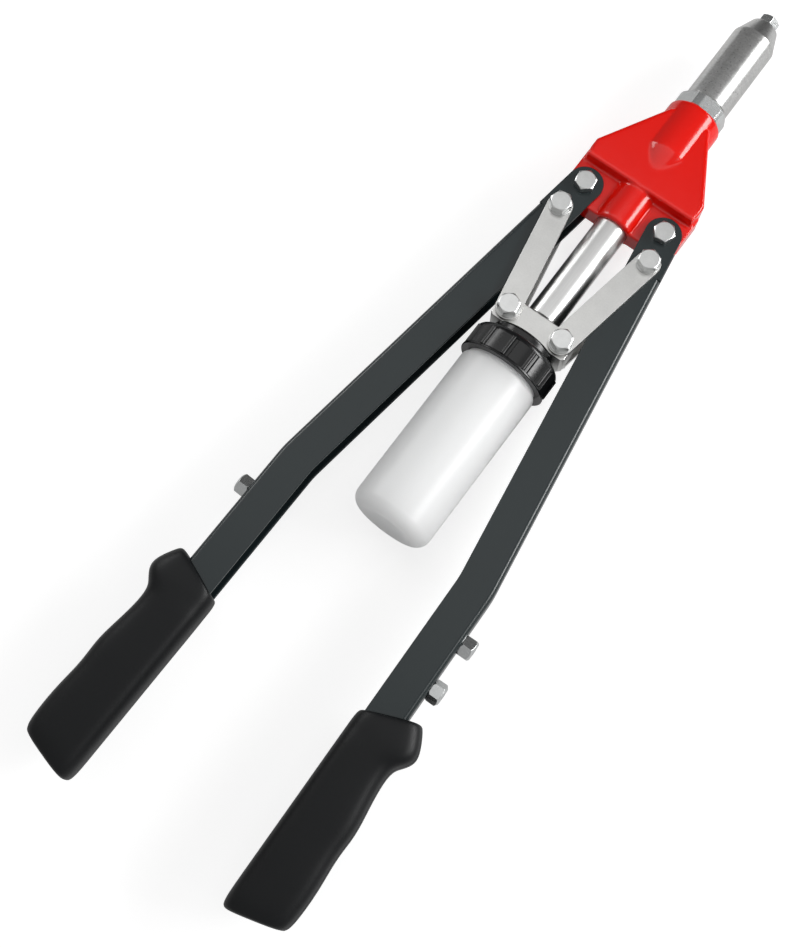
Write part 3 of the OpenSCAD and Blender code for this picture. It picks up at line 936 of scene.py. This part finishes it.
@dataclass
class Arm:
    """Folded channel with round lugs at its top, its spare nosepieces and its moulded grip."""

    side: Side
    spares: Sequence[float]
    splay: float = 8.3
    grip_splay: float = 1.3
    upper: float = 200.0
    lower: float = 168.0
    half_width: float = 9.3
    half_height: float = 8.0
    sheet: float = 2.0
    web_start: float = 23.0
    bend: float = 60.0
    bend_steps: int = 10
    fold: float = 3.0
    inner_fold: float = 1.0
    edge: float = 0.5
    lug_edge: float = 0.3
    crank: float = 18.6
    spare_turn: float = 12.0
    grip_top: float = 66.0
    grip_inner: float = 12.5
    grip_half: float = 12.7
    grip_points: int = 32
    grip_squareness: float = 0.66
    grip_inset: float = 1.2

    @property
    def body(self) -> str:
        """Name of the body that the arm and all on it ride on."""
        return f"{self.side.value}_arm"

    @property
    def upper_frame(self) -> Matrix:
        """Places the upper arm, made along -Y from its pivot with its outer side on +X."""
        return self.side.mirror @ shift(*ARM_PIVOT, 0) @ spun(self.splay, "Z")

    @property
    def lower_frame(self) -> Matrix:
        """Places the lower arm, made along -Y from the bend."""
        return self.upper_frame @ shift(0, -self.upper, 0) @ spun(
            self.grip_splay - self.splay, "Z")

    def section(self) -> list[tuple[float, float]]:
        """Outline of the folded sheet across the arm, as (outwards, up) points."""
        w, h, t, f = self.half_width, self.half_height, self.sheet, self.fold
        inner, edge = self.inner_fold, self.edge
        quarter = [
            (-w, h - t + edge), (-w, h - edge), (-w + edge * 0.3, h - edge * 0.3), (-w + edge, h),
            *arc((w - f, h - f), f, 90, 0, 6)]
        inside = [*arc((w - t - inner, h - t - inner), inner, 0, 90, 3), (-w + edge, h - t)]
        lower_out = [(u, -z) for u, z in reversed(quarter)]
        lower_in = [(u, -z) for u, z in reversed(inside)]
        return [*quarter, *lower_out, *lower_in, *inside]

    def channel(self) -> bpy.types.Object:
        """Sweeps the section down the upper arm, round the bend and down the lower arm."""
        half_bend = math.radians(self.splay - self.grip_splay) / 2
        tangent = self.bend * math.tan(half_bend)
        straight = self.upper - tangent
        away = Matrix.Rotation(-2 * half_bend, 4, "Z") @ mm(0, -(self.lower - tangent), 0)
        piece = drawn("channel", [(u, -self.web_start, z) for u, z in self.section()], filled=True)
        edit(
            piece, Select.FACE, True,
            lambda: bpy.ops.mesh.extrude_region_move(
                TRANSFORM_OT_translate={"value": mm(0, self.web_start - straight, 0)}),
            lambda: bpy.ops.mesh.spin(
                steps=self.bend_steps, angle=2 * half_bend, center=mm(-self.bend, -straight, 0),
                axis=(0, 0, 1)),
            lambda: bpy.ops.mesh.extrude_region_move(TRANSFORM_OT_translate={"value": away}),
            face_outwards,
        )
        return piece

    def lug(self, name: str, low: float) -> bpy.types.Object:
        """Models one flange's round lug above the start of the web.

        Args:
            name: name of the piece.
            low: height of its lower face.

        Returns:
            The lug, with the holes for its two bolts.
        """
        w, start = self.half_width, self.web_start
        outline = [(w, -start), *arc((0, 0), w, 0, 180, 28), (-w, -start)]
        piece = extruded(name, outline, low, low + self.sheet)
        pick(piece, Select.EDGE, lambda c, d: abs(d.z) < 0.5 and c.y > -start + 0.01)
        edit(piece, Select.EDGE, False,
             lambda: bpy.ops.mesh.bevel(offset=self.lug_edge * MM, segments=2, affect="EDGES"),
             face_outwards)
        hole = Fastener().diameter / 2 + FIT
        return cut(piece, rod(hole, -12, 12), rod(hole, -12, 12, (0, -self.crank)))

    def build_channel(self) -> None:
        """Joins the swept channel and its lugs."""
        h, t = self.half_height, self.sheet
        parts = [self.channel(), self.lug("front", h - t), self.lug("back", -h)]
        piece = moved(joined(f"{self.side.value}_folded_arm", parts), self.upper_frame)
        finished(piece, SLATE_COAT, self.body, "dark_paint", self.body, smooth=40)

    def build_spares(self) -> None:
        """Screws the spare nosepieces into the outer wall."""
        reach = self.half_width + 0.1 + Nosepiece.hexagon
        pieces = []
        for down in self.spares:
            turn = spun(-90, "Z") @ spun(self.spare_turn + down, "Y")
            place = self.lower_frame @ shift(reach, -down, 0) @ turn
            pieces.append(moved(Nosepiece().shape("spare"), place))
        many = "s" if len(pieces) > 1 else ""
        piece = joined(f"{self.side.value}_hex_spare{many}", pieces)
        finished(piece, NICKEL_PLATE, self.body, "nickel_steel",
                 f"{self.side.value}_spare_nosepiece{many}", smooth=25)

    def grip_rings(self) -> list[tuple[float, float, float, float, float]]:
        """Sections of the grip from its top down.

        Returns:
            Inset of the inner side, inner place down the arm, outer reach, outer place down
            the arm and share of the thickness, for each section.
        """
        return [
            (2.4, 10.0, 14.0, 0.1, 0.74), (0.5, 11.0, 17.2, 1.2, 0.90),
            (0, 14.5, 22.4, 10.6, 0.96), (0, 18.5, 23.0, 16.0, 0.97),
            (0, 22.0, 20.0, 20.6, 0.97), (0, 25.5, 16.7, 24.0, 0.97),
            (0, 32.0, 16.1, 31.0, 0.97), (0, 42.0, 17.0, 41.0, 0.975),
            (0, 52.0, 18.6, 51.5, 0.985), (0, 60.0, 19.1, 59.0, 0.99),
            (0, 67.0, 18.6, 66.0, 0.99), (0, 75.0, 18.6, 73.5, 0.995),
            (0, 86.0, 19.5, 83.0, 1), (0, 98.0, 19.8, 93.0, 1), (0, 110.0, 19.3, 104.0, 1),
            (0.8, 114.2, 18.0, 107.6, 0.92), (3.4, 115.6, 14.5, 109.4, 0.74)]

    def grip_ring(
        self, inset: float, inner_v: float, outer_u: float, outer_v: float, share: float
    ) -> list[tuple[float, float, float]]:
        """Points round one section of the grip, a circle drawn out towards a rectangle.

        Args:
            inset: inset of its inner side.
            inner_v: place of its inner side down the arm.
            outer_u: reach of its outer side.
            outer_v: place of its outer side down the arm.
            share: its share of the full thickness.

        Returns:
            The points, in order.
        """
        inner_u = inset - self.grip_inner
        ring = []
        for i in range(self.grip_points):
            angle = 2 * math.pi * (i + 0.5) / self.grip_points
            across, up = (
                math.copysign(abs(k) ** self.grip_squareness, k)
                for k in (math.cos(angle), math.sin(angle)))
            inwards = (1 - across) / 2
            ring.append((
                outer_u + (inner_u - outer_u) * inwards,
                -self.grip_top - (outer_v + (inner_v - outer_v) * inwards),
                up * self.grip_half * share))
        return ring

    def build_grip(self) -> None:
        """Lofts the moulded grip through its sections."""
        rings = [self.grip_ring(*section) for section in self.grip_rings()]
        piece = drawn(f"{self.side.value}_moulded_grip", rings[0], filled=True)
        for ring in rings[1:]:
            edit(piece, Select.FACE, False, lambda: bpy.ops.mesh.extrude_region_move(
                TRANSFORM_OT_translate={"value": mm(0, -1, 0)}))
            fresh = [v for v in piece.data.vertices if v.select]
            for vertex, point in zip(fresh, ring):
                vertex.co = mm(*point)
        edit(piece, Select.FACE, True, face_outwards)
        pick(piece, Select.FACE, lambda c, n: abs(n.y) > 0.75)
        edit(piece, Select.FACE, False,
             lambda: bpy.ops.mesh.inset(thickness=self.grip_inset * MM))
        apply_modifier(piece, "SUBSURF", levels=2, render_levels=2)
        moved(piece, self.lower_frame)
        finished(piece, BLACK_GRIP, self.body, "grip_moulding", f"{self.side.value}_grip",
                 smooth=ROUND_ONLY)

    def build(self) -> None:
        """Builds the arm with all that it carries."""
        self.build_channel()
        self.build_spares()
        self.build_grip()


@dataclass
class Links:
    """The four flat links, blanked from zinc-plated bar."""

    length: float = 60.0
    width: float = 13.0
    thickness: float = 2.5
    low: float = 8.1
    pin_hole: float = 3.05
    open_hole: float = 4.5

    def link(self, name: str, side: Side, low: float) -> None:
        """Models one link.

        Args:
            name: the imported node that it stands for.
            side: the side that it is on.
            low: height of its lower face.
        """
        r, top = self.width / 2, low + self.thickness
        outline = [*arc((0, self.length), r, 0, 180, 20), *arc((0, 0), r, 180, 360, 20)]
        piece = rounded(extruded(f"{name}_bar", outline, low, top), 0.3, 2, 40)
        ends = (low - 1, low + 4)
        cut(piece, rod(self.pin_hole, *ends), rod(self.open_hole, *ends, (0, self.length)))
        lean = math.asin((LINK_PIVOT[0] - YOKE_PIVOT[0]) / self.length)
        place = shift(*YOKE_PIVOT, 0) @ Matrix.Rotation(-lean, 4, "Z")
        moved(piece, side.mirror @ place)
        finished(piece, ZINC_BAR, f"{side.value}_links", "zinc_plate", name)

    def build(self) -> None:
        """Places all four."""
        for side in Side:
            self.link(f"{side.value}_front_link", side, self.low)
            self.link(f"{side.value}_back_link", side, -self.low - self.thickness)


@dataclass
class Puller:
    """Ground pull tube with the yoke and the collar at its lower end."""

    tube: float = 8.75
    spigot: float = 6.2
    bore: float = 4.2
    chamfer: float = 0.5
    tube_low: float = -232.164
    tube_shoulder: float = -64.5
    tube_top: float = -56.5
    yoke_low: float = -222.464
    yoke_top: float = -208.464
    yoke_half: float = 21.5
    top_corner: float = 2.5
    low_corner: float = 1.25
    pin_hole: float = 3.05
    half_height: float = 8.0
    collar_low: float = -227.564
    collar: float = 17.5
    collar_round: float = 1.6

    def build_tube(self) -> None:
        """Turns and grinds the tube."""
        r, s, b, c = self.tube, self.spigot, self.bore, self.chamfer
        low, seat, shoulder, top = self.tube_low, self.yoke_top, self.tube_shoulder, self.tube_top
        piece = turned("ground_pull_tube", [
            (b, low), (s - c, low), (s, low + c), (s, seat), (r - c, seat), (r, seat + c),
            (r, shoulder - c), (r - c, shoulder), (s, shoulder), (s, top), (b, top)], 128)
        finished(piece, GROUND_STEEL, "puller", "polished_steel", "pull_tube")

    def build_yoke(self) -> None:
        """Mills the yoke block and drills it for the tube and the two pivots."""
        w, top, low = self.yoke_half, self.yoke_top, self.yoke_low
        a, b = self.top_corner, self.low_corner
        outline = [(-w + a, top), (w - a, top), (w, top - a), (w, low + b), (w - b, low),
                   (-w + b, low), (-w, low + b), (-w, top - a)]
        block = extruded("milled_yoke", outline, -self.half_height, self.half_height)
        piece = rounded(block, 0.45, 3, 30)
        across = moved(rod(self.spigot + FIT, -20, 20), spun(90, "X"))
        moved(across, shift(0, (top + low) / 2, 0))
        x, y = YOKE_PIVOT
        pins = [rod(self.pin_hole, -20, 20, (side, y)) for side in (x, -x)]
        cut(piece, across, *pins)
        finished(piece, ZINC_BAR, "puller", "zinc_plate", "yoke")

    def build_collar(self) -> None:
        """Turns the collar that holds the cap under the yoke."""
        top, low, r, hole = self.yoke_low - 0.1, self.collar_low, self.collar, self.spigot + FIT
        soft = self.collar_round
        profile = [(hole, low), (r - 0.4, low), (r, low + 0.4),
                   *arc((r - soft, top - soft), soft, 0, 90, 6), (hole, top)]
        piece = turned("glossy_collar", profile, 112)
        finished(piece, BLACK_NYLON, "puller", "black_moulding", "collar")

    def build(self) -> None:
        """Builds the three pieces."""
        self.build_tube()
        self.build_yoke()
        self.build_collar()


@dataclass
class CatchBottle:
    """Ribbed screw cap and the milky bottle that catches spent mandrels.

    The bottle is one solid body, because light has to scatter all through it.
    """

    cap: float = 23.7
    cap_top: float = -227.664
    cap_low: float = -242.664
    ribs: int = 12
    rib_turn: float = -5.0
    rib_rise: float = 0.75
    rib_width: float = 2.0
    groove_width: float = 2.2
    groove_depth: float = 1.2
    roof: float = 3.0
    cap_bore: float = 19.6
    tube_hole: float = 6.25
    lip: float = 0.25
    shoulder_round: float = 3.2
    bottle: float = 21.2
    neck: float = 19.3
    foot_round: float = 7.0
    neck_round: float = 3.6
    bottle_low: float = -336.664

    def rim_outline(self) -> list[tuple[float, float]]:
        """Outline of the cap seen along the axis: a rib and the groove beside it, all round."""
        half = math.degrees(self.rib_width / 2 / self.cap)
        groove = math.degrees(self.groove_width / self.cap)
        rest = 360 / self.ribs - 2 * half - groove
        steps = []
        for k in range(9):
            a = math.pi * k / 8
            steps.append((-half * math.cos(a), self.cap + self.rib_rise * math.sin(a)))
        for k in range(1, 7):
            a = math.pi * k / 6
            steps.append((half + groove * k / 6, self.cap - self.groove_depth * math.sin(a)))
        steps += [(half + groove + rest * k / 5, self.cap) for k in range(1, 5)]
        points = []
        for i in range(self.ribs):
            middle = self.rib_turn + 360 * i / self.ribs
            for turn, r in steps:
                a = math.radians(middle + turn)
                points.append((r * math.sin(a), r * math.cos(a)))
        return points

    def build_cap(self) -> None:
        """Models the cap: a ribbed band between a plain lip and a rounded shoulder."""
        low, top, r, bore = self.cap_low, self.cap_top, self.cap, self.cap_bore
        roof, soft, lip = top - self.roof, self.shoulder_round, r + self.lip
        band = extruded("band", self.rim_outline(), low + 1.3, top - soft)
        moved(band, spun(90, "X") @ Matrix.Scale(-1, 4, Vector((0, 0, 1))))
        edit(band, Select.FACE, True, face_outwards)
        rounded(band, 0.16, 2, 60)
        core = moved(rod(r - 1.6, -9, 9, steps=96), spun(90, "X"))
        cut(band, moved(core, shift(0, (low + top) / 2, 0)))
        shell = turned("shell", [
            (bore, low), (r - 0.1, low), (lip, low + 0.35), (lip, low + 1.0), (r, low + 1.35),
            (r - 0.7, low + 1.4), (r - 0.7, top - 3.1),
            *arc((r - soft, top - soft), soft, 0, 78, 7), (r - 4.0, top), (self.tube_hole, top),
            (self.tube_hole, roof), (bore, roof)], 144)
        piece = joined("ribbed_cap", [band, shell])
        finished(piece, BLACK_NYLON, "puller", "black_moulding", "bottle_cap", smooth=42)

    def build_bottle(self) -> None:
        """Blows the bottle, with a rounded shoulder, a rounded foot and a dished bottom."""
        r, n, low, foot, soft = (
            self.bottle, self.neck, self.bottle_low, self.foot_round, self.neck_round)
        rim, shoulder = self.cap_top - 3.3, self.cap_low - 0.3
        profile = [
            (0, low + 1.6), (8, low + 1.3), (12, low + 0.5), (13.6, low + 0.06),
            *arc((r - foot, low + foot), foot, -85, 0, 10),
            *arc((r - soft, shoulder - soft), soft, 0, 62, 6), (n, shoulder - 0.1),
            (n, rim - 0.3), (n - 0.3, rim), (0, rim)]
        piece = turned("milky_bottle", profile, 144)
        finished(piece, MILKY_PE, "bottle", "milky_plastic", "bottle", smooth=50)

    def build(self) -> None:
        """Builds both pieces."""
        self.build_cap()
        self.build_bottle()


@dataclass
class JawSet:
    """Carrier, jaws, pusher and spring inside the barrel, which keep their packed form."""

    nodes: Sequence[str] = ("jaw_carrier", "jaws", "jaw_pusher")
    spring_seat: float = -55.8
    travel: float = 3.0

    def build_spring(self, node: bpy.types.Object) -> None:
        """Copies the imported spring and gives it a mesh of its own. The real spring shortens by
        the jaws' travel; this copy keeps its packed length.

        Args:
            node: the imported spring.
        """
        piece = copied(node, "coil_spring")
        finished(piece, HARDENED_STEEL, "puller", "hardened_steel", "jaw_spring",
                 smooth=ROUND_ONLY)
        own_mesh(piece)

    def build(self, packed: dict[str, bpy.types.Object]) -> None:
        """Gives the hidden parts their finish.

        Args:
            packed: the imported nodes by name.
        """
        for name in self.nodes:
            packed[name].data.materials.clear()
            packed[name].data.materials.append(HARDENED_STEEL.material())
            log.info("%s: packed form, new finish", name)
        self.build_spring(packed["jaw_spring"])


@dataclass(frozen=True)
class Lamp:
    """A rectangular soft light: centre, aim, width and height in millimetres, and power."""

    name: str
    place: tuple[float, float, float]
    aim: tuple[float, float, float]
    width: float
    height: float
    watts: float

    def build(self) -> None:
        """Hangs the light, its width level."""
        data = bpy.data.lights.new(self.name, "AREA")
        data.shape = "RECTANGLE"
        data.size, data.size_y = self.width * MM, self.height * MM
        data.energy = self.watts
        light = bpy.data.objects.new(self.name, data)
        light.location = mm(*self.place)
        way = mm(*self.aim) - mm(*self.place)
        light.rotation_euler = way.to_track_quat("-Z", "Y").to_euler()
        bpy.context.scene.collection.objects.link(light)


@dataclass
class Studio:
    """White sweep, a large soft box overhead, a strip light at the upper right, small side lights.

    The glows are how bright the floor shows by itself, and the shares are how much of the light
    that falls on it, with the tool's shadow, is added to that. Sky gives levels from straight
    below to straight above.
    """

    floor_size: float = 9.0
    floor_colour: str = "#E6E6E6"
    floor_glow: float = 0.76
    floor_share: float = 0.4
    reflected_glow: float = 0.22
    reflected_share: float = 0.55
    lamps: Sequence[Lamp] = (
        Lamp("strip_light", (1100.0, 600.0, 740.0), (0.0, -100.0, 0.0), 1250.0, 420.0, 20.0),
        Lamp("left_light", (-1160.0, 60.0, 610.0), (0.0, -200.0, 0.0), 600.0, 350.0, 3.4),
        Lamp("right_light", (1150.0, -150.0, 850.0), (0.0, -250.0, 0.0), 600.0, 400.0, 1.6),
        Lamp("soft_box", (-800.0, 245.0, 2000.0), (-800.0, 244.0, 0.0), 3400.0, 1190.0, 9.9))
    sky: Sequence[tuple[float, float]] = (
        (0.0, 0.5), (0.5, 0.29), (0.54, 0.24), (0.7, 0.27), (0.9, 0.29), (1.0, 0.31))
    far_end: tuple[float, float] = (0.42, 0.58)
    far_level: float = 0.35
    near_end: tuple[float, float] = (-0.7, -0.1)
    near_level: float = 1.6

    def build_floor(self, height: float) -> None:
        """Lays the white floor, which shows as white and still takes a soft shadow.

        Args:
            height: height of the floor in metres.
        """
        bpy.ops.object.select_all(action="DESELECT")
        bpy.ops.mesh.primitive_plane_add(size=self.floor_size, location=(0, 0, height))
        floor = bpy.context.object
        floor.name = "floor"
        bpy.ops.object.transform_apply(location=True, rotation=True, scale=True)
        material = bpy.data.materials.new("white_paper_sweep")
        material.use_nodes = True
        tree = material.node_tree
        tree.nodes.clear()
        path = add_node(tree, "ShaderNodeLightPath").outputs
        direct = add_node(
            tree, "ShaderNodeMath", {"operation": "MAXIMUM"},
            {0: path["Is Camera Ray"], 1: path["Is Transmission Ray"]})
        surface = add_node(tree, "ShaderNodeBsdfDiffuse", {"Color": linear(self.floor_colour)})
        for seen, share, glow in (
                (path["Is Glossy Ray"], self.reflected_share, self.reflected_glow),
                (direct.outputs[0], self.floor_share, self.floor_glow)):
            dimmed = add_node(tree, "ShaderNodeBsdfDiffuse", {"Color": (share, share, share, 1)})
            light = add_node(
                tree, "ShaderNodeEmission", {"Color": (1, 1, 1, 1), "Strength": glow})
            shown = add_node(
                tree, "ShaderNodeAddShader", links={0: dimmed.outputs[0], 1: light.outputs[0]})
            surface = add_node(
                tree, "ShaderNodeMixShader",
                links={0: seen, 1: surface.outputs[0], 2: shown.outputs[0]})
        add_node(tree, "ShaderNodeOutputMaterial", links={"Surface": surface.outputs[0]})
        floor.data.materials.append(material)
        floor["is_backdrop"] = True

    def build_sky(self) -> None:
        """Sets the world: pale walls, darker at the far end, +Y, and lighter at the near end."""
        world = bpy.data.worlds.new("studio")
        bpy.context.scene.world = world
        world.use_nodes = True
        tree = world.node_tree
        tree.nodes.clear()
        way = add_node(tree, "ShaderNodeTexCoord")
        split = add_node(tree, "ShaderNodeSeparateXYZ", links={0: way.outputs["Generated"]})
        height = add_node(
            tree, "ShaderNodeMapRange", {"From Min": -1.0, "From Max": 1.0},
            {"Value": split.outputs["Z"]})
        ramp = add_node(tree, "ShaderNodeValToRGB", links={"Fac": height.outputs["Result"]})
        stops = ramp.color_ramp.elements
        for i, (place, level) in enumerate(self.sky):
            stop = stops[i] if i < len(stops) else stops.new(place)
            stop.position = place
            stop.color = (level, level, level, 1)
        shades = []
        for (start, end), first, last in (
                (self.near_end, self.near_level, 1.0), (self.far_end, 1.0, self.far_level)):
            shades.append(add_node(
                tree, "ShaderNodeMapRange",
                {"interpolation_type": "SMOOTHSTEP", "From Min": start, "From Max": end,
                 "To Min": first, "To Max": last},
                {"Value": split.outputs["Y"]}).outputs["Result"])
        shade = add_node(
            tree, "ShaderNodeMath", {"operation": "MULTIPLY"}, dict(enumerate(shades)))
        glow = add_node(tree, "ShaderNodeBackground", links={
            "Color": ramp.outputs["Color"], "Strength": shade.outputs[0]})
        add_node(tree, "ShaderNodeOutputWorld", links={"Surface": glow.outputs[0]})

    def build(self, floor_height: float) -> None:
        """Sets up floor, sky and light.

        Args:
            floor_height: height of the floor in metres.
        """
        self.build_floor(floor_height)
        self.build_sky()
        for lamp in self.lamps:
            lamp.build()
        bpy.context.scene.view_settings.view_transform = "Standard"


@dataclass
class View:
    """Camera at the photograph's viewing angle, nearly straight above the tool."""

    place: tuple[float, float, float] = (101.28, -458.97, 666.57)
    right: tuple[float, float, float] = (0.80371, 0.59501, -0.00352)
    back: tuple[float, float, float] = (0.16106, -0.21187, 0.96393)
    lens: float = 55.05
    sensor: float = 36.0
    nearest: float = 0.01

    def build(self) -> None:
        """Adds the camera. The sensor's width lies along the picture's long side."""
        data = bpy.data.cameras.new("camera")
        data.lens = self.lens
        data.sensor_width = self.sensor
        data.clip_start = self.nearest
        camera = bpy.data.objects.new("camera", data)
        back = Vector(self.back).normalized()
        right = Vector(self.right).normalized()
        turn = Matrix((right, back.cross(right), back)).transposed().to_4x4()
        camera.matrix_world = shift(*self.place) @ turn
        bpy.context.scene.collection.objects.link(camera)
        bpy.context.scene.camera = camera


def main() -> None:
    """Builds the tool's looks, the studio and the camera."""
    logging.basicConfig(level=logging.INFO, format="%(message)s")
    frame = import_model()
    packed_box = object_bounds()
    nodes = frame["nodes"]
    View().build()
    Casting().build(nodes["head_casting"])
    Nose().build()
    Bolts().build()
    Arm(Side.LEFT, (25.0,)).build()
    Arm(Side.RIGHT, (25.0, 50.0)).build()
    Links().build()
    Puller().build()
    CatchBottle().build()
    JawSet().build(nodes)
    Studio().build(packed_box[0].z)


if __name__ == "__main__":
    main()
